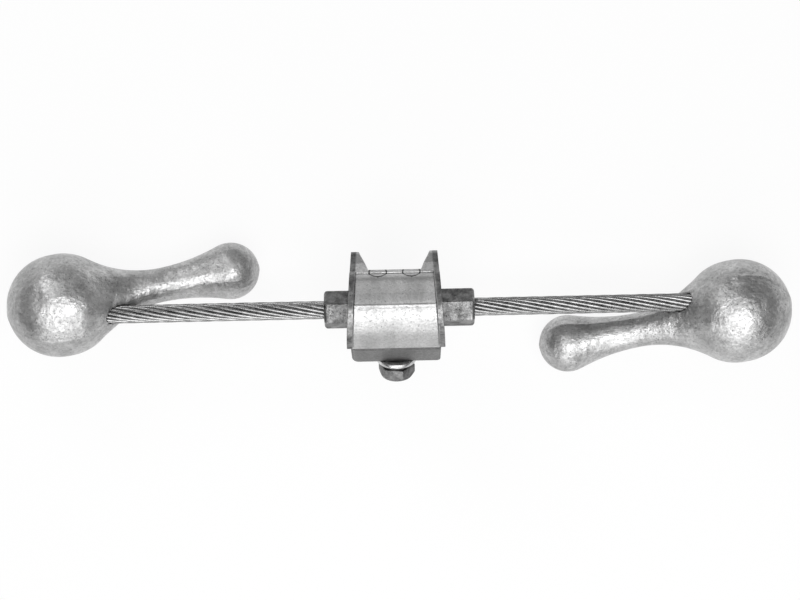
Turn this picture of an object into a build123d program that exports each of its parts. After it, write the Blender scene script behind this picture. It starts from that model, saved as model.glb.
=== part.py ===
"""Stockbridge vibration damper for an overhead conductor: two dogbone weights on a
stranded messenger cable, hung from the conductor by a bolted aluminium clamp.

Millimetres. X runs along the conductor and the messenger, Z is up and the clamping
bolt's head is on the -Y side. The origin is the centre of the conductor groove, and
the messenger hangs straight below it. Sections across the clamp are drawn in (Y, Z)
from the messenger's axis, and each finished piece is then dropped by MESSENGER_DROP.
"""

import os
from math import atan2, cos, degrees, hypot, radians, sin, sqrt

from build123d import *

# Layout
MESSENGER_DROP = 45.0       # conductor axis down to messenger axis
HUB_CENTRE_X = 2.3          # the hub barrel is cast a little off the jaws' centre
SLIP = 0.02                 # radial play left where two pieces nest

# Messenger strand: one king wire, six inner and twelve outer wires
WIRE_D = 2.2
INNER_WIRE_D = 2.15
INNER_PITCH_R = 2.2
OUTER_PITCH_R = 4.4
OUTER_LAY = 130.0           # length of one full turn, right-hand
INNER_LAY = 104.0           # left-hand, so that the strand does not unlay
WIRE_FLATS = 8              # each round wire is drawn as this many flats
STRAND_R = OUTER_PITCH_R + WIRE_D / 2
BORE_R = STRAND_R + SLIP

# Dogbone weights
BALL_R = 31.0
BALL_BARREL = 3.0           # short straight stretch that draws the ball out, away from the clamp
BALL_FROM_HUB = 202.3       # along the messenger
BALL_OFFSET = 9.3           # ball centre to messenger axis
SMALL_R = 17.4
SMALL_FROM_HUB = 102.8
SMALL_OFFSET = 35.5
NECK_R = 10.4
NECK_PLACE = 0.58           # along the arm, from the ball
LEFT_DROOP = 45.0           # degrees that each arm hangs below the horizontal
RIGHT_DROOP = 48.0
BOSS_SLOPE = 40.0           # half angle of the cone where the cable leaves the ball
BOSS_SUNK = 0.5             # the cone's flank starts this far under the ball's skin
BOSS_REACH = 42.0           # ball centre to the cone's blunt end
BOSS_CUT_AT = 34.0          # the cone is cut back above the cable from here
BOSS_CUT_LEAN = 62.0        # degrees that the cut leans back from square
BORE_DEPTH = 1.0            # blind bore, past the ball's centre
FLASH_PROUD = 0.35          # parting line left by the mould
FLASH_WIDTH = 1.3

# Clamp casting
GROOVE_R = 12.5
HOOK_R = 20.8
CREST_ANGLE = 84.0          # degrees from +Y, where the mould parts on the hook
LIP_ANGLE = 150.0
RIM_PROUD = 1.3             # end rims stand this far above the hook's back
RIM_WIDTH = 3.4
JAW_HALF_REAR = 25.0        # half width at the horns
JAW_HALF_FRONT = 28.4       # half width at the lip
HORN = (33.4, 41.0)         # tip, and the top of its rounded crest
HORN_CREST = (32.0, 43.4)
LIP_FRONT = -22.7
CASING_R = 13.2             # casting around the hub, between the jaws' ends
HUB_LENGTH = 90.0
HUB_ACROSS_FLATS = 20.2
HUB_FACET_TILT = 13.4       # degrees from +Z towards the bolt's head
FLARE_FROM = 23.0           # bell mouth at each end of the groove, from here outwards
FLARE_SLOPE = 0.68
RIDGE_PROUD = 0.35          # parting ridge along the hook's crest
RIDGE_WIDTH = 0.9

# Clamping bolt, M12 x 60, square to the washer seat
BOLT_TILT = 30.0            # degrees that it rises towards its tip
BOLT_ABOVE_HUB = 17.0       # axis to messenger axis, at right angles
BOLT_R = 6.0
SEAT_AT = -22.3             # washer seat, along the bolt from its nearest point to the hub
WASHER_R, WASHER_BORE_R, WASHER_T = 12.0, 6.5, 2.5
SPRING_R, SPRING_BORE_R, SPRING_T = 9.7, 6.3, 3.0
SPRING_SPLIT = 1.2
HEAD_ACROSS_FLATS = 19.0
HEAD_T = 7.5
HEAD_TURN = -10.0           # degrees that the hexagon is turned about the bolt
TIP_AT = 32.5
TIP_CHAMFER = 1.2
BOSS_END_AT = 22.0
KEEPER_HOLE_R = 6.75

# Keeper
KEEPER_HALF_LEFT = 26.6
KEEPER_HALF_RIGHT = 26.2
KEEPER_CORNER_LEFT = 4.0
KEEPER_CORNER_RIGHT = 2.0
EJECTOR_R = 5.4
EJECTOR_X = 9.6
EJECTOR_DEPTH = 0.5

BOLT_FRAME = Plane(
    origin=(0, -BOLT_ABOVE_HUB * sin(radians(BOLT_TILT)), BOLT_ABOVE_HUB * cos(radians(BOLT_TILT))),
    x_dir=(1, 0, 0),
    z_dir=(0, cos(radians(BOLT_TILT)), sin(radians(BOLT_TILT))),
)


def outline(points):
    """Flat face from (Y, Z) corners on the section plane."""
    return make_face(Plane.YZ * Polyline(*points, close=True))


def disc(radius, y=0.0, z=0.0):
    """Round face on the section plane."""
    return Plane.YZ * (Pos(y, z) * Circle(radius))


def along_x(face, start, end):
    """Extrude a section face from one X station to another."""
    return Pos(start, 0, 0) * extrude(face, end - start, dir=(1, 0, 0))


def around_groove(angle, radius):
    """(Y, Z) of a point at an angle from +Y about the conductor's axis."""
    return radius * cos(radians(angle)), MESSENGER_DROP + radius * sin(radians(angle))


def beside_bolt(along, above):
    """(Y, Z) of a point given along the bolt and at right angles to it."""
    tilt = radians(BOLT_TILT)
    out = BOLT_ABOVE_HUB + above
    return along * cos(tilt) - out * sin(tilt), along * sin(tilt) + out * cos(tilt)


def on_bolt(solid):
    """Place a solid drawn about +Z on the bolt's axis."""
    return BOLT_FRAME * solid


# Messenger strand

def king_wire(start, end):
    """The straight wire in the middle."""
    return along_x(disc(WIRE_D / 2), start, end)


def laid_wire(wire_d, pitch_r, lay, turn, start, end, lefthand):
    """One wire swept along its helix and turned to its place in the layer."""
    path = Helix(pitch=lay, height=end - start, radius=pitch_r, lefthand=lefthand)
    profile = Plane(origin=path @ 0, z_dir=path % 0) * RegularPolygon(wire_d / 2, WIRE_FLATS)
    wire = sweep(profile, path=path, is_frenet=True)
    return Pos(start, 0, 0) * (Rot(0, 90, 0) * (Rot(0, 0, turn) * wire))


# Dogbone weights

def weight_frame(side, arm_droop):
    """Frame with +X from the ball towards the clamp and +Y from cable to arm."""
    droop = radians(arm_droop)
    arm_side = Vector(0, -side * cos(droop), -sin(droop))
    return Plane(
        origin=(HUB_CENTRE_X + side * BALL_FROM_HUB, 0, 0),
        x_dir=(-side, 0, 0),
        z_dir=Vector(-side, 0, 0).cross(arm_side),
    )


def blend_radius(span, end_r):
    """Radius of the arc that joins a round end to the neck, tangent to both."""
    return (span**2 + NECK_R**2 - end_r**2) / (2 * (end_r - NECK_R))


def short_arc(centre, start, end):
    """The shorter arc about a centre, from one point to another."""
    radius = (start - centre).length
    middle = centre + ((start + end) * 0.5 - centre).normalized() * radius
    return ThreePointArc(start, middle, end)


def dogbone_half(grow=0.0):
    """Half outline of ball, neck and small end, along the arm's own axis."""
    arm = hypot(BALL_FROM_HUB - SMALL_FROM_HUB, SMALL_OFFSET - BALL_OFFSET)
    ball, small = Vector(0, 0), Vector(arm, 0)
    neck = Vector(NECK_PLACE * arm, NECK_R)
    ball_blend = neck + Vector(0, blend_radius(neck.X, BALL_R))
    small_blend = neck + Vector(0, blend_radius(arm - neck.X, SMALL_R))
    ball_join = ball + (ball_blend - ball).normalized() * BALL_R
    small_join = small + (small_blend - small).normalized() * SMALL_R
    back, top = Vector(-BALL_BARREL, 0), Vector(0, BALL_R)
    pole, tip = back - Vector(BALL_R, 0), small + Vector(SMALL_R, 0)
    face = make_face(Curve() + [
        short_arc(back, pole, back + top),
        Line(back + top, top),
        short_arc(ball, top, ball_join),
        short_arc(ball_blend, ball_join, neck),
        short_arc(small_blend, neck, small_join),
        short_arc(small, small_join, tip),
        Line(tip, pole),
    ])
    if grow:
        face = offset(face + mirror(face, Plane.XZ), grow)
    return face


def cable_boss():
    """Blunt cone on the ball, cut back on its upper side where the cable lies bare."""
    slope = radians(BOSS_SLOPE)
    reach = BALL_R - BOSS_SUNK
    root = ((reach - 1) * sin(slope), (reach - 1) * cos(slope))
    edge = (root[0] + sin(slope), root[1] + cos(slope))
    blunt_r = (reach - BOSS_REACH * sin(slope)) / cos(slope)
    half = Polyline((0, 0), (0, 20), root, edge, (BOSS_REACH, blunt_r), (BOSS_REACH, 0), close=True)
    return Pos(0, BALL_OFFSET, 0) * revolve(make_face(half), Axis.X)


def boss_cut(side, arm_droop):
    """Slanted half space above the cable that the boss is trimmed to."""
    block = Pos(0, 0, 60) * Box(240, 240, 120)
    leaning = Plane(
        origin=(HUB_CENTRE_X + side * (BALL_FROM_HUB - BOSS_CUT_AT), 0, 0),
        x_dir=(0, 1, 0),
        z_dir=(-side * cos(radians(BOSS_CUT_LEAN)), 0, sin(radians(BOSS_CUT_LEAN))),
    )
    return weight_frame(side, arm_droop).location.inverse() * (leaning * block)


def weight(side, arm_droop):
    """One cast dogbone with its cable boss and blind bore."""
    lean = degrees(atan2(SMALL_OFFSET - BALL_OFFSET, BALL_FROM_HUB - SMALL_FROM_HUB))
    to_arm = Pos(0, BALL_OFFSET, 0) * Rot(0, 0, lean)
    body = to_arm * revolve(dogbone_half(), Axis.X)
    body = body + (cable_boss() - boss_cut(side, arm_droop))
    body = body + to_arm * extrude(dogbone_half(FLASH_PROUD), FLASH_WIDTH / 2, both=True)
    bore = Rot(0, 90, 0) * Cylinder(BORE_R, 80, align=(Align.CENTER, Align.CENTER, Align.MIN))
    body = body - Pos(-BORE_DEPTH, 0, 0) * bore
    return weight_frame(side, arm_droop) * body


# Clamp

def jaw_block(inset):
    """Tapered block, seen from above, that the jaws' ends are trimmed to."""
    rear_y, front_y = 40.0, -40.0
    per_mm = (JAW_HALF_FRONT - JAW_HALF_REAR) / (HORN[0] - LIP_FRONT)
    rear = JAW_HALF_REAR - (rear_y - HORN[0]) * per_mm - inset
    front = JAW_HALF_FRONT + (LIP_FRONT - front_y) * per_mm - inset
    corners = ((-rear, rear_y), (rear, rear_y), (front, front_y), (-front, front_y))
    plan = make_face(Polyline(*corners, close=True))
    return Pos(0, 0, -30) * extrude(plan, 120)


def hook_section(proud=0.0):
    """The hook: round over the front, flat behind the crest, round shoulder at the back."""
    crest = around_groove(CREST_ANGLE, HOOK_R + proud)
    shoulder = outline([
        (0, MESSENGER_DROP), crest, (19.6 + proud, 60.6 + proud), (22.6 + proud, 39.5), (8.0, 33.0),
    ])
    corner = shoulder.vertices().sort_by(lambda v: -(v.Y + v.Z))[0]
    shoulder = fillet(corner, 8.5)
    lip = outline([
        (0, MESSENGER_DROP), (-19.4, 52.6), (LIP_FRONT + 0.3, 48.6), (LIP_FRONT, 43.6), (-20.4, 42.2),
        (-17.0, 43.6),
    ])
    nose = lip.vertices().sort_by(lambda v: v.Y)[:2]
    lip = fillet(nose, 1.2)
    return disc(HOOK_R + proud, 0, MESSENGER_DROP) + shoulder + lip


def crest_ridge():
    """Thin parting ridge that stands on the hook's crest."""
    y, z = around_groove(CREST_ANGLE, HOOK_R)
    half, top = RIDGE_WIDTH / 2, z + RIDGE_PROUD
    return outline([(y - half, z - 1), (y - half, top), (y + half, top - 0.15), (y + half, z - 1)])


def core_section():
    """Solid web from the hub casing up to the hook, out to the horns at the back."""
    return outline([
        (-12.9, 0), (-12.4, 8), beside_bolt(1.0, 6.0), beside_bolt(2.6, 8.2), beside_bolt(15.0, 8.2),
        (6.4, 31.4), (9.0, 34.4), (11.0, 38.6), (12.0, 50), (21.0, 55.5), (26.6, 47.6), HORN_CREST, HORN,
        (12.9, 0),
    ]) + disc(CASING_R)


def entry_section():
    """Space kept clear for the conductor, between the lip and the tapped boss."""
    lip_inner = around_groove(LIP_ANGLE, GROOVE_R - 0.5)
    return outline([
        (0, MESSENGER_DROP), lip_inner, (-15.6, 45.8), (-17.2, 43.2), (-21.0, 41.4), (-25.0, 40.0),
        (-25.0, 24.0), beside_bolt(2.6, 8.2), beside_bolt(15.0, 8.2), (6.4, 31.4), (9.0, 34.4),
        (11.0, 38.6),
    ])


def pocket():
    """Space behind the tapped boss, where the bolt's tip stands out between the horns."""
    rear_slope = (HORN[0] - 12.9) / HORN[1]
    floor_z, web_t, half = 17.0, 4.5, 15.4
    floor_rear = 12.9 + rear_slope * floor_z - web_t
    section = outline([
        beside_bolt(BOSS_END_AT, 8.0), beside_bolt(BOSS_END_AT, -8.5), (floor_rear - 1.5, floor_z),
        (floor_rear, floor_z), (23.0, 25.0), (23.0, 39.3), (13.4, 36.6),
    ])
    cavity = along_x(section, -half, half)
    plan = make_face(Polyline(
        (-half, 22.6), (half, 22.6), (half + 1.6, 26.6), (half + 4.0, 31.0), (half + 6.2, 36.0),
        (-half - 6.2, 36.0), (-half - 4.0, 31.0), (-half - 1.6, 26.6), close=True,
    ))
    return cavity + extrude(plan, 70)


def hub():
    """Hexagonal barrel that is crimped on the messenger."""
    hexagon = Plane.YZ * (
        Rot(0, 0, HUB_FACET_TILT) * RegularPolygon(HUB_ACROSS_FLATS / 2, 6, major_radius=False)
    )
    barrel = along_x(hexagon, -HUB_LENGTH / 2, HUB_LENGTH / 2)
    ends = barrel.faces().sort_by(Axis.X)
    barrel = fillet(ends[0].edges() + ends[-1].edges(), 2.0)
    return Pos(HUB_CENTRE_X, 0, 0) * barrel


def ejector_mark(x):
    """Round mark of a mould pin on the hook's rounded shoulder."""
    tilt = radians(27)
    seat = Plane(origin=(x, 20.3, 54.6), x_dir=(1, 0, 0), z_dir=(0, cos(tilt), sin(tilt)))
    return seat * extrude(Circle(EJECTOR_R) - Circle(EJECTOR_R - 0.9), EJECTOR_DEPTH, both=True)


def groove_mouths():
    """Cones that open both ends of the groove like a bell."""
    reach = 8.0
    mouth = Cone(
        GROOVE_R, GROOVE_R + reach * FLARE_SLOPE, reach, align=(Align.CENTER, Align.CENTER, Align.MIN)
    )
    left, right = (
        Pos(side * FLARE_FROM, 0, MESSENGER_DROP) * (Rot(0, side * 90, 0) * mouth) for side in (-1, 1)
    )
    return left + right


def clamp_body():
    """The casting: hook, end rims with horns, tapped boss and crimped hub."""
    groove = disc(GROOVE_R, 0, MESSENGER_DROP)
    wide = 40.0
    rims = along_x(hook_section(RIM_PROUD), -wide, wide) & (jaw_block(0) - jaw_block(RIM_WIDTH))
    hook = along_x(hook_section() + crest_ridge(), -wide, wide) & jaw_block(1.0)
    core = along_x(core_section(), -wide, wide) & jaw_block(0)
    body = hook + rims + (core - pocket())
    body = body - along_x(groove, -wide, wide) - along_x(entry_section(), -wide, wide)
    body = body - groove_mouths() + hub()
    body = body - along_x(disc(BORE_R), -60, 60)
    tapped = Pos(0, 0, -12) * Cylinder(BOLT_R + SLIP, 50, align=(Align.CENTER, Align.CENTER, Align.MIN))
    body = body - on_bolt(tapped)
    for x in (-EJECTOR_X, EJECTOR_X):
        body = body - ejector_mark(x)
    return body


def keeper():
    """Lever jaw: foot on the hub casing, bolt through its middle, groove on top."""
    section = outline([
        beside_bolt(SEAT_AT, 7.0), (-24.0, 37.4), (-21.6, 39.4), around_groove(201, GROOVE_R - 1),
        around_groove(256, GROOVE_R - 1), beside_bolt(12.0, 9.8), beside_bolt(1.8, 9.8),
        beside_bolt(-1.2, 6.0), (-14.2, 6.0), (-13.5, 0.5), (-13.9, -3.0), (-17.0, -8.6),
        beside_bolt(SEAT_AT, -13.0),
    ])
    jaw = along_x(section, -KEEPER_HALF_LEFT, KEEPER_HALF_RIGHT)
    front = jaw.edges().filter_by(lambda e: e.center().Y < -26 and abs(e.center().X) > 26 and e.length > 20)
    for edge in front:
        corner = KEEPER_CORNER_LEFT if edge.center().X < 0 else KEEPER_CORNER_RIGHT
        jaw = fillet(jaw.edges().sort_by_distance(edge.center())[:1], corner)
    jaw = jaw - along_x(disc(GROOVE_R, 0, MESSENGER_DROP), -40, 40) - groove_mouths()
    jaw = jaw - along_x(disc(CASING_R + SLIP), -40, 40)
    return jaw - on_bolt(Cylinder(KEEPER_HOLE_R, 80))


def clamp_bolt():
    """Hexagon head screw with a chamfered head and tip."""
    under_head = SEAT_AT - WASHER_T - SPRING_T
    hexagon = Rot(0, 0, HEAD_TURN) * RegularPolygon(HEAD_ACROSS_FLATS / 2, 6, major_radius=False)
    head = Pos(0, 0, under_head - HEAD_T) * extrude(hexagon, HEAD_T)
    corner_r = HEAD_ACROSS_FLATS / sqrt(3)
    crown = Pos(0, 0, under_head - HEAD_T) * Cone(
        HEAD_ACROSS_FLATS / 2 - 0.3, corner_r + 5.2, 10.5, align=(Align.CENTER, Align.CENTER, Align.MIN)
    )
    head = head & crown
    shank = Pos(0, 0, under_head) * Cylinder(
        BOLT_R, TIP_AT - under_head, align=(Align.CENTER, Align.CENTER, Align.MIN)
    )
    shank = chamfer(shank.faces().sort_by(Axis.Z)[-1].edges(), TIP_CHAMFER)
    return on_bolt(head + shank)


def flat_washer():
    """Plain washer on the keeper's seat."""
    ring = extrude(Circle(WASHER_R) - Circle(WASHER_BORE_R), WASHER_T)
    return on_bolt(Pos(0, 0, SEAT_AT - WASHER_T) * ring)


def spring_washer():
    """Split washer, wound flat under the head."""
    ring = extrude(Circle(SPRING_R) - Circle(SPRING_BORE_R), SPRING_T)
    split = Pos(SPRING_R, 0, SPRING_T / 2) * (Rot(20, 0, 0) * Box(2 * SPRING_R, SPRING_SPLIT, 3 * SPRING_T))
    ring = ring - Rot(0, 0, -60) * split
    return on_bolt(Pos(0, 0, SEAT_AT - WASHER_T - SPRING_T) * ring)


def write(name, solid):
    """Drop a piece from the messenger's axis to its place and save it."""
    placed = Pos(0, 0, -MESSENGER_DROP) * solid
    export_step(placed, f"parts/{name}.step")


def main():
    os.makedirs("parts", exist_ok=True)
    start = HUB_CENTRE_X - BALL_FROM_HUB
    end = HUB_CENTRE_X + BALL_FROM_HUB
    write("king_wire", king_wire(start, end))
    for number in range(6):
        wire = laid_wire(INNER_WIRE_D, INNER_PITCH_R, INNER_LAY, 60 * number, start, end, True)
        write(f"inner_wire_{number + 1}", wire)
    for number in range(12):
        wire = laid_wire(WIRE_D, OUTER_PITCH_R, OUTER_LAY, 30 * number, start, end, False)
        write(f"outer_wire_{number + 1:02d}", wire)
    write("left_weight", weight(-1, LEFT_DROOP))
    write("right_weight", weight(1, RIGHT_DROOP))
    write("clamp_body", clamp_body())
    write("keeper", keeper())
    write("clamp_bolt", clamp_bolt())
    write("flat_washer", flat_washer())
    write("spring_washer", spring_washer())


main()
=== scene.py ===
import math

import bmesh
import bpy
from mathutils import Matrix, Vector


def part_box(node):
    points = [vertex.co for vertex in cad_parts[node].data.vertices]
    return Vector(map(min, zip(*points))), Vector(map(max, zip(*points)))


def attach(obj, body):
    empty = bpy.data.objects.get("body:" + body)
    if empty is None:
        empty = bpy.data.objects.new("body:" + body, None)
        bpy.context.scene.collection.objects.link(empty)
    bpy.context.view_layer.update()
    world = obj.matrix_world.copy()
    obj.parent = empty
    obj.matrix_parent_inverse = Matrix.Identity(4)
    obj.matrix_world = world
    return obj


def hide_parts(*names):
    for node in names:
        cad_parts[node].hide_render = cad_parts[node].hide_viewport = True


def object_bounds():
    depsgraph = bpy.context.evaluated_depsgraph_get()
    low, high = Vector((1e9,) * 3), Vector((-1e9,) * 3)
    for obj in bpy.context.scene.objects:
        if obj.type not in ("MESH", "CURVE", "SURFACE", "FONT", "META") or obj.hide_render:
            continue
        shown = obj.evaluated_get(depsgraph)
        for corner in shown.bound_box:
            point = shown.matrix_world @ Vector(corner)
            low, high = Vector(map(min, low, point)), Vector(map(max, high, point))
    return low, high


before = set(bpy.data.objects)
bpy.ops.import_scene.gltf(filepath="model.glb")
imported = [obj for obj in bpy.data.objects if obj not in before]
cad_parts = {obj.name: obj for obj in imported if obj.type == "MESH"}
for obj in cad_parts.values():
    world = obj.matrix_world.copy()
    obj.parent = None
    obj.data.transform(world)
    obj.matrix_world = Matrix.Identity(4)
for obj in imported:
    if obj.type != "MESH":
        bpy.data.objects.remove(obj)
cad_low, cad_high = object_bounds()
scene = bpy.context.scene
scene.view_settings.view_transform = "Standard"

# ---------------------------------------------------------------------------
# Camera. It looks straight down on the level damper from a little over a metre,
# with the messenger running almost straight across the view.
core_low, core_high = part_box("king_wire")
messenger = (core_low + core_high) / 2
camera_height = 1.15
field_width = 0.480
view_roll = math.radians(1.24)
aim = messenger + Vector((0.0005, 0.0050, 0))
camera_data = bpy.data.cameras.new("camera")
camera_data.angle = 2 * math.atan(field_width / 2 / camera_height)
camera = bpy.data.objects.new("camera", camera_data)
camera.location = aim + Vector((0, 0, camera_height))
camera.rotation_euler = (0, 0, -view_roll)
scene.collection.objects.link(camera)
scene.camera = camera

# ---------------------------------------------------------------------------
# Messenger strand. Nineteen galvanised steel wires laid around each other in
# three layers. The twelve outer wires are all that shows: each is drawn round
# and bright, and lies in its own helix with a dark gap beside it, where the
# inner wires are coloured near black as painted shade.


def add_object(name, mesh):
    """Link a mesh as a new object that sits at the origin."""
    obj = bpy.data.objects.new(name, mesh)
    scene.collection.objects.link(obj)
    return obj


def finished(name, bm, material, smooth_angle=40):
    """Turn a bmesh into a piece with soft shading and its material."""
    bmesh.ops.recalc_face_normals(bm, faces=bm.faces)
    mesh = bpy.data.meshes.new(name)
    bm.to_mesh(mesh)
    bm.free()
    piece = add_object(name, mesh)
    mesh.materials.append(material)
    mesh.shade_smooth()
    mesh.set_sharp_from_angle(angle=math.radians(smooth_angle))
    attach(piece, "root")
    return piece


def new_material(name, metallic, colour, roughness):
    """Material with its shader and an Object-coordinate source ready to wire."""
    material = bpy.data.materials.new(name)
    material.use_nodes = True
    tree = material.node_tree
    shader = tree.nodes["Principled BSDF"]
    shader.inputs["Metallic"].default_value = metallic
    shader.inputs["Base Color"].default_value = (*colour, 1)
    shader.inputs["Roughness"].default_value = roughness
    coords = tree.nodes.new("ShaderNodeTexCoord")
    return material, tree, shader, coords.outputs["Object"]


def noise(tree, coords, scale, detail=4.0, roughness=0.55, stretch=(1, 1, 1)):
    """Noise in Object coordinates; scale is in blotches per metre."""
    mapping = tree.nodes.new("ShaderNodeMapping")
    mapping.inputs["Scale"].default_value = stretch
    tree.links.new(coords, mapping.inputs["Vector"])
    texture = tree.nodes.new("ShaderNodeTexNoise")
    texture.inputs["Scale"].default_value = scale
    texture.inputs["Detail"].default_value = detail
    texture.inputs["Roughness"].default_value = roughness
    tree.links.new(mapping.outputs["Vector"], texture.inputs["Vector"])
    return texture.outputs["Fac"]


def ramp(tree, factor, low, high, from_value, to_value):
    """Colour ramp between two greys or colours over part of a factor's range."""
    node = tree.nodes.new("ShaderNodeValToRGB")
    node.color_ramp.elements[0].position = low
    node.color_ramp.elements[1].position = high
    for element, value in zip(node.color_ramp.elements, (from_value, to_value)):
        element.color = (*value, 1) if isinstance(value, tuple) else (value, value, value, 1)
    tree.links.new(factor, node.inputs["Fac"])
    return node.outputs["Color"]


def mix(tree, kind, factor, first, second):
    """Blend two colour sockets by kind, with a number or a socket as factor."""
    node = tree.nodes.new("ShaderNodeMix")
    node.data_type = "RGBA"
    node.blend_type = kind
    if isinstance(factor, (int, float)):
        node.inputs["Factor"].default_value = factor
    else:
        tree.links.new(factor, node.inputs["Factor"])
    for socket, source in (("A", first), ("B", second)):
        target = next(s for s in node.inputs if s.name == socket and s.type == "RGBA")
        tree.links.new(source, target)
    return next(s for s in node.outputs if s.type == "RGBA")


def bump(tree, shader, *layers):
    """Chain bump nodes: each layer is (height socket, depth in metres)."""
    normal = None
    for height, depth in layers:
        node = tree.nodes.new("ShaderNodeBump")
        node.inputs["Strength"].default_value = 1.0
        node.inputs["Distance"].default_value = depth
        tree.links.new(height, node.inputs["Height"])
        if normal is not None:
            tree.links.new(normal, node.inputs["Normal"])
        normal = node.outputs["Normal"]
    tree.links.new(normal, shader.inputs["Normal"])


def strand_material():
    """Bright drawn wire with a dull zinc bloom and fine draw lines along X."""
    material, tree, shader, coords = new_material("drawn_zinc_wire", 1.0, (0.66, 0.66, 0.67), 0.3)
    bloom = noise(tree, coords, 260, 3.0)
    lines = noise(tree, coords, 900, 1.0, stretch=(0.03, 1, 1))
    tint = ramp(tree, bloom, 0.35, 0.7, 0.21, 0.38)
    streak = ramp(tree, lines, 0.3, 0.7, 0.92, 1.0)
    drawn = mix(tree, "MULTIPLY", 1.0, tint, streak)
    tree.links.new(drawn, shader.inputs["Base Color"])
    tree.links.new(ramp(tree, bloom, 0.3, 0.75, 0.22, 0.34), shader.inputs["Roughness"])
    bump(tree, shader, (bloom, 0.00003))
    return material


wire_finish = strand_material()
WIRE_SIDES = 12
STEPS_PER_TURN = 72
wire_radius = 0.0011
outer_pitch_radius = 0.0044
outer_lay = 0.130
strand_length = core_high.x - core_low.x
lay_turns = strand_length / outer_lay
lay_steps = round(lay_turns * STEPS_PER_TURN)
lay_angle = math.atan(2 * math.pi * outer_pitch_radius / outer_lay)
for number in range(12):
    bm = bmesh.new()
    bmesh.ops.create_circle(bm, cap_ends=False, segments=WIRE_SIDES, radius=wire_radius)
    square_to_helix = Matrix.Rotation(math.radians(90), 4, "Y")
    bmesh.ops.transform(bm, matrix=square_to_helix, verts=bm.verts)
    bmesh.ops.transform(bm, matrix=Matrix.Rotation(-lay_angle, 4, "Z"), verts=bm.verts)
    start = Vector((core_low.x, messenger.y, messenger.z))
    bmesh.ops.translate(bm, vec=start + Vector((0, 0, outer_pitch_radius)), verts=bm.verts)
    bmesh.ops.rotate(
        bm, cent=start, matrix=Matrix.Rotation(math.radians(30 * number), 3, "X"), verts=bm.verts
    )
    bmesh.ops.spin(
        bm, geom=bm.verts[:] + bm.edges[:], cent=start, axis=(1, 0, 0),
        dvec=(strand_length / lay_steps, 0, 0), angle=2 * math.pi * lay_turns, steps=lay_steps,
        use_merge=False, use_duplicate=False,
    )
    bmesh.ops.holes_fill(bm, edges=[e for e in bm.edges if e.is_boundary], sides=WIRE_SIDES)
    wire = finished(f"laid_wire_{number + 1:02d}", bm, wire_finish)
    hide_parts(f"outer_wire_{number + 1:02d}")
# The king and inner wires are coloured near black as painted shade, so the gaps between the outer wires
# read dark.
shaded_core_finish, tree, shader, coords = new_material("core_wire_painted_shade", 1.0, (0.07, 0.07, 0.07), 0.55)
core_shade_mottle = noise(tree, coords, 900, 3.0)
tree.links.new(ramp(tree, core_shade_mottle, 0.3, 0.7, 0.02, 0.05), shader.inputs["Base Color"])
bump(tree, shader, (core_shade_mottle, 0.00003))
for name in ["king_wire"] + [f"inner_wire_{number + 1}" for number in range(6)]:
    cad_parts[name].data.materials.clear()
    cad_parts[name].data.materials.append(shaded_core_finish)

# ---------------------------------------------------------------------------
# Dogbone weights. Each is one iron casting, hot-dip galvanised: the zinc runs
# soft over every edge, and leaves a finely pitted, blotchy, satin skin. The
# mould's parting line stands up slightly all round.


def cast_copy(node, voxel, softening, kept=1.0):
    """Closed mesh of a casting, its edges rounded as the mould leaves them, thinned to a share."""
    bm = bmesh.new()
    bm.from_mesh(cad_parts[node].data)
    bmesh.ops.remove_doubles(bm, verts=bm.verts, dist=1e-6)
    mesh = bpy.data.meshes.new(node + "_skin")
    bm.to_mesh(mesh)
    bm.free()
    source = add_object(node + "_skin", mesh)
    remesh = source.modifiers.new("even_grid", "REMESH")
    remesh.mode = "VOXEL"
    remesh.voxel_size = voxel
    soften = source.modifiers.new("soften", "SMOOTH")
    soften.factor = 0.5
    soften.iterations = softening
    if kept < 1:
        thin = source.modifiers.new("thin", "DECIMATE")
        thin.ratio = kept
    depsgraph = bpy.context.evaluated_depsgraph_get()
    applied = bpy.data.meshes.new_from_object(source.evaluated_get(depsgraph))
    bpy.data.objects.remove(source)
    result = bmesh.new()
    result.from_mesh(applied)
    bpy.data.meshes.remove(applied)
    return result


def painted_hollow_shade(tree, low, high, darkest):
    """Grey that drops in the mesh's hollows: painted shade where the hollows fall into shadow."""
    geometry = tree.nodes.new("ShaderNodeNewGeometry")
    return ramp(tree, geometry.outputs["Pointiness"], low, high, darkest, 1.0)


def galvanised_iron():
    """Zinc on cast iron: mottled grey, pits, runs and rubbed bright patches."""
    material, tree, shader, coords = new_material("galvanised_casting", 1.0, (0.5, 0.5, 0.51), 0.4)
    cloud = noise(tree, coords, 75, 5.0, 0.6)
    mottle = noise(tree, coords, 520, 6.0, 0.65)
    pits = noise(tree, coords, 900, 2.0, 0.5)
    rubs = noise(tree, coords, 140, 6.0, 0.7, stretch=(0.35, 1, 1))
    base = ramp(tree, cloud, 0.3, 0.7, 0.42, 0.68)
    speck = ramp(tree, mottle, 0.36, 0.62, 0.70, 1.0)
    dirt = ramp(tree, pits, 0.30, 0.40, 0.45, 1.0)
    colour = mix(tree, "MULTIPLY", 0.9, base, speck)
    colour = mix(tree, "MULTIPLY", 0.8, colour, dirt)
    tree.links.new(colour, shader.inputs["Base Color"])
    worn = ramp(tree, rubs, 0.4, 0.62, 0.52, 0.30)
    satin = mix(tree, "MIX", 0.5, ramp(tree, mottle, 0.35, 0.65, 0.50, 0.34), worn)
    tree.links.new(satin, shader.inputs["Roughness"])
    runs = noise(tree, coords, 42, 3.0, 0.5)
    bump(tree, shader, (runs, 0.0022), (cloud, 0.0012), (rubs, 0.0006), (mottle, 0.00016), (dirt, 0.00012))
    return material


zinc_on_iron = galvanised_iron()
for side in ("left", "right"):
    bm = cast_copy(f"{side}_weight", 0.0008, 6)
    casting = finished(f"{side}_dogbone", bm, zinc_on_iron, 180)
    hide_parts(f"{side}_weight")

# ---------------------------------------------------------------------------
# Clamp body and keeper. Die-cast aluminium, as cast: smooth satin faces, two
# ejector marks behind the hook, and duller, pitted end rims and hub barrels.


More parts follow.
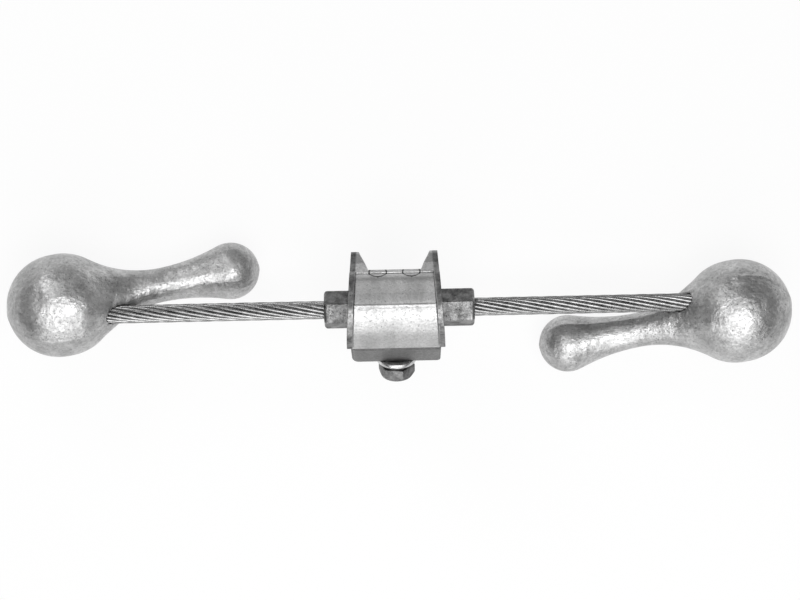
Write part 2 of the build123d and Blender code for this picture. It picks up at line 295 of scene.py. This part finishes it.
def arithmetic(tree, operation, first, second=None):
    """One Math node on sockets or numbers."""
    node = tree.nodes.new("ShaderNodeMath")
    node.operation = operation
    for index, value in enumerate((first, second)):
        if value is None:
            continue
        if isinstance(value, (int, float)):
            node.inputs[index].default_value = value
        else:
            tree.links.new(value, node.inputs[index])
    return node.outputs[0]


def between_rims(tree, coords):
    """Mask that is white between the end rims, and black on them and on the hub's barrels."""
    split = tree.nodes.new("ShaderNodeSeparateXYZ")
    tree.links.new(coords, split.inputs[0])
    taper = arithmetic(tree, "MULTIPLY", split.outputs["Y"], 0.0606)
    width = arithmetic(tree, "ADD", arithmetic(tree, "ABSOLUTE", split.outputs["X"]), taper)
    inside = tree.nodes.new("ShaderNodeMapRange")
    inside.inputs["From Min"].default_value = 0.0243
    inside.inputs["From Max"].default_value = 0.0233
    tree.links.new(width, inside.inputs["Value"])
    return inside.outputs["Result"]


def ejector_ring_shade(tree, coords, centre, lean, radius):
    """Dark outline of the two round ejector marks on the hook's shoulder, as a grey: painted shade in
    their ring grooves.
    """
    split = tree.nodes.new("ShaderNodeSeparateXYZ")
    tree.links.new(coords, split.inputs[0])
    across = arithmetic(tree, "SUBTRACT", arithmetic(tree, "ABSOLUTE", split.outputs["X"]), centre.x)
    behind = arithmetic(tree, "SUBTRACT", split.outputs["Y"], centre.y)
    up = arithmetic(tree, "SUBTRACT", split.outputs["Z"], centre.z)
    along = arithmetic(
        tree, "SUBTRACT",
        arithmetic(tree, "MULTIPLY", up, math.cos(lean)),
        arithmetic(tree, "MULTIPLY", behind, math.sin(lean)),
    )
    squares = arithmetic(
        tree, "ADD", arithmetic(tree, "POWER", across, 2.0), arithmetic(tree, "POWER", along, 2.0)
    )
    off_ring = arithmetic(
        tree, "ABSOLUTE", arithmetic(tree, "SUBTRACT", arithmetic(tree, "SQRT", squares), radius)
    )
    width = tree.nodes.new("ShaderNodeMapRange")
    width.inputs["From Min"].default_value = 0.0002
    width.inputs["From Max"].default_value = 0.0006
    width.inputs["To Min"].default_value = 0.12
    tree.links.new(off_ring, width.inputs["Value"])
    in_front = arithmetic(tree, "LESS_THAN", split.outputs["Y"], centre.y - 0.006)
    return arithmetic(tree, "MAXIMUM", width.outputs["Result"], in_front)


def cast_aluminium(name, low, high, marks=None):
    """Satin aluminium with flow marks and pits, duller on the end rims and barrels, with painted shade in
    its hollows and in the ejector marks' rings.
    """
    material, tree, shader, coords = new_material(name, 1.0, (high, high, high), 0.36)
    flow = noise(tree, coords, 55, 4.0, 0.55, stretch=(1.6, 0.7, 0.7))
    skin = noise(tree, coords, 700, 5.0, 0.6)
    pits = noise(tree, coords, 1300, 2.0, 0.5)
    smear = noise(tree, coords, 170, 5.0, 0.65)
    bright = between_rims(tree, coords)
    base = ramp(tree, flow, 0.3, 0.7, low, high)
    speck = ramp(tree, skin, 0.35, 0.6, 0.80, 1.0)
    holes = ramp(tree, pits, 0.28, 0.36, 0.35, 1.0)
    handled = ramp(tree, smear, 0.36, 0.62, 0.18, 0.58)
    colour = mix(tree, "MULTIPLY", 0.9, base, speck)
    colour = mix(tree, "MULTIPLY", 0.8, colour, holes)
    dulled = mix(tree, "MULTIPLY", 1.0, colour, handled)
    colour = mix(tree, "MIX", bright, dulled, colour)
    # Painted shade: the colour darkens in the mesh's hollows.
    colour = mix(tree, "MULTIPLY", 1.0, colour, painted_hollow_shade(tree, 0.455, 0.495, 0.12))
    if marks:
        # Painted shade in the ejector marks' ring grooves.
        colour = mix(tree, "MULTIPLY", 1.0, colour, ejector_ring_shade(tree, coords, *marks))
    tree.links.new(colour, shader.inputs["Base Color"])
    tree.links.new(ramp(tree, skin, 0.3, 0.7, 0.54, 0.38), shader.inputs["Roughness"])
    bump(tree, shader, (flow, 0.0004), (smear, 0.0003), (skin, 0.00010), (holes, 0.00015))
    return material


ejector_centre = Vector((0.0096, 0.0203, 0.0096))
hook_aluminium = cast_aluminium(
    "hook_aluminium", 0.42, 0.58, marks=(ejector_centre, math.radians(27), 0.00495)
)
body = finished(
    "hook_casting", cast_copy("clamp_body", 0.00026, 2, 0.17), hook_aluminium, 180
)
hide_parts("clamp_body")
keeper_aluminium = cast_aluminium("keeper_aluminium", 0.13, 0.21)
jaw = finished(
    "keeper_casting", cast_copy("keeper", 0.0004, 3, 0.4), keeper_aluminium, 180
)
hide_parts("keeper")

# ---------------------------------------------------------------------------
# Bolt and washers. A galvanised M12 hexagon screw, forged head and rolled
# thread, over a split spring washer coloured near black as painted shade in
# the recess under the head, and a brighter plain washer.


def bolt_steel(name, low, high, rough):
    """Galvanised fastener: dull zinc in blotches of tone and roughness, with a fine grain."""
    material, tree, shader, coords = new_material(name, 1.0, (high, high, high), rough)
    blotch = noise(tree, coords, 420, 5.0, 0.6)
    grain = noise(tree, coords, 3000, 2.0, 0.5)
    tree.links.new(ramp(tree, blotch, 0.35, 0.65, low, high), shader.inputs["Base Color"])
    tree.links.new(ramp(tree, blotch, 0.3, 0.7, rough + 0.08, rough - 0.06), shader.inputs["Roughness"])
    bump(tree, shader, (blotch, 0.0001), (grain, 0.00003))
    return material


def rounded_copy(node, width):
    """Merged mesh of a turned or forged piece with its sharp edges broken."""
    bm = bmesh.new()
    bm.from_mesh(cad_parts[node].data)
    bmesh.ops.remove_doubles(bm, verts=bm.verts, dist=1e-6)
    bmesh.ops.dissolve_limit(bm, angle_limit=math.radians(1), verts=bm.verts, edges=bm.edges)
    sharp = [e for e in bm.edges if e.is_manifold and e.calc_face_angle() > math.radians(25)]
    bmesh.ops.bevel(
        bm, geom=sharp, offset=width, offset_type="OFFSET", segments=2, profile=0.5,
        affect="EDGES", clamp_overlap=True, material=-1,
    )
    bmesh.ops.triangulate(bm, faces=[f for f in bm.faces if len(f.verts) > 4])
    return bm


dull_steel = bolt_steel("galvanised_bolt", 0.12, 0.22, 0.46)
# The split washer is coloured near black: painted shade for the recessed band between the plain washer and
# the head.
shade_black_steel = bolt_steel("spring_washer_painted_shade", 0.03, 0.06, 0.5)
bright_steel = bolt_steel("bright_washer", 0.50, 0.68, 0.3)
bolt_axis = Vector((0, math.cos(math.radians(30)), math.sin(math.radians(30))))
bolt_origin = Vector((0, -0.017 * bolt_axis.z, messenger.z + 0.017 * bolt_axis.y))
shank_radius = 0.006
thread_pitch = 0.00175
thread_depth = 0.00095
thread_start, tip_at = -0.026, 0.0325
rings = round((tip_at - thread_start) / thread_pitch * 10)
shank = bmesh.new()
line = [
    shank.verts.new((shank_radius, 0, thread_start + (tip_at - thread_start) * ring / rings))
    for ring in range(rings + 1)
]
edges = [shank.edges.new(pair) for pair in zip(line, line[1:])]
bmesh.ops.spin(
    shank, geom=line + edges, cent=(0, 0, 0), axis=(0, 0, 1), angle=2 * math.pi, steps=40, use_merge=True
)
to_bolt = Matrix.Translation(bolt_origin) @ bolt_axis.to_track_quat("Z", "Y").to_matrix().to_4x4()
for vert in shank.verts:
    turn = math.atan2(vert.co.y, vert.co.x) / (2 * math.pi)
    phase = (vert.co.z / thread_pitch - turn) % 1
    groove = thread_depth * (1 - min(1, 2.6 * abs(phase - 0.5)))
    tip_chamfer = vert.co.z - (tip_at - 0.0012)
    share = 1 - max(groove, tip_chamfer, 0) / shank_radius
    vert.co = to_bolt @ Vector((vert.co.x * share, vert.co.y * share, vert.co.z))
bmesh.ops.holes_fill(shank, edges=[e for e in shank.edges if e.is_boundary], sides=0)
shank_mesh = bpy.data.meshes.new("threaded_shank")
shank.to_mesh(shank_mesh)
shank.free()
bm = rounded_copy("clamp_bolt", 0.0003)
bmesh.ops.bisect_plane(
    bm, geom=bm.verts[:] + bm.edges[:] + bm.faces[:], plane_co=bolt_origin + bolt_axis * thread_start,
    plane_no=bolt_axis, clear_outer=True,
)
bmesh.ops.holes_fill(bm, edges=[e for e in bm.edges if e.is_boundary], sides=0)
bm.from_mesh(shank_mesh)
bpy.data.meshes.remove(shank_mesh)
screw = finished("hexagon_screw", bm, dull_steel, 30)
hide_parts("clamp_bolt")
for node, name, finish, slot, width in (
    ("spring_washer", "split_washer", shade_black_steel, "galvanised_bolt", 0.0002),
    ("flat_washer", "plain_washer", bright_steel, "washer_steel", 0.0003),
):
    piece = finished(name, rounded_copy(node, width), finish, 30)
    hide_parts(node)

# ---------------------------------------------------------------------------
# Floor and light. The damper lies on white board under a broad overhead box,
# with dark surroundings near the horizon that draw the edges of the metal.
floor_level = cad_low.z - 0.001
bm = bmesh.new()
bmesh.ops.create_grid(bm, x_segments=1, y_segments=1, size=30)
bmesh.ops.translate(bm, vec=(0, 0, floor_level), verts=bm.verts)
mesh = bpy.data.meshes.new("floor")
bm.to_mesh(mesh)
bm.free()
floor = add_object("floor", mesh)
floor_material = bpy.data.materials.new("white_board")
floor_material.use_nodes = True
tree = floor_material.node_tree
tree.nodes.clear()
output = tree.nodes.new("ShaderNodeOutputMaterial")
paper = tree.nodes.new("ShaderNodeBsdfDiffuse")
paper.inputs["Color"].default_value = (0.8, 0.8, 0.8, 1)
glow = tree.nodes.new("ShaderNodeEmission")
glow.inputs["Strength"].default_value = 1.0
blend = tree.nodes.new("ShaderNodeMixShader")
path = tree.nodes.new("ShaderNodeLightPath")
seen = path.outputs["Is Camera Ray"]
for ray in ("Is Glossy Ray", "Is Transmission Ray"):
    either = tree.nodes.new("ShaderNodeMath")
    either.operation = "MAXIMUM"
    tree.links.new(seen, either.inputs[0])
    tree.links.new(path.outputs[ray], either.inputs[1])
    seen = either.outputs[0]
share = tree.nodes.new("ShaderNodeMath")
share.operation = "MULTIPLY"
share.inputs[1].default_value = 0.9
tree.links.new(seen, share.inputs[0])
tree.links.new(share.outputs[0], blend.inputs["Fac"])
tree.links.new(paper.outputs[0], blend.inputs[1])
tree.links.new(glow.outputs[0], blend.inputs[2])
tree.links.new(blend.outputs[0], output.inputs["Surface"])
mesh.materials.append(floor_material)

world = bpy.data.worlds.new("studio")
scene.world = world
world.use_nodes = True
tree = world.node_tree
tree.nodes.clear()
output = tree.nodes.new("ShaderNodeOutputWorld")
room = tree.nodes.new("ShaderNodeBackground")
coords = tree.nodes.new("ShaderNodeTexCoord")
split = tree.nodes.new("ShaderNodeSeparateXYZ")
tree.links.new(coords.outputs["Generated"], split.inputs[0])
tree.links.new(ramp(tree, split.outputs["Z"], 0.15, 0.85, 0.02, 0.45), room.inputs["Color"])
tree.links.new(room.outputs[0], output.inputs["Surface"])


def lamp(name, place, target, width, height, power):
    """Rectangular soft box at a place, turned towards a target."""
    data = bpy.data.lights.new(name, "AREA")
    data.shape = "RECTANGLE"
    data.size = width
    data.size_y = height
    data.energy = power
    obj = bpy.data.objects.new(name, data)
    obj.location = place
    obj.rotation_euler = (Vector(target) - Vector(place)).to_track_quat("-Z", "Y").to_euler()
    scene.collection.objects.link(obj)
    return obj


lamp("overhead_box", (0.10, -0.35, 1.25), (0, 0, 0), 1.1, 0.7, 12)
lamp("front_box", (0.0, -1.1, 0.60), (0, 0, -0.04), 1.6, 0.9, 9)
lamp("back_box", (-0.6, 1.0, 0.8), (0, 0, -0.04), 0.6, 0.4, 4)
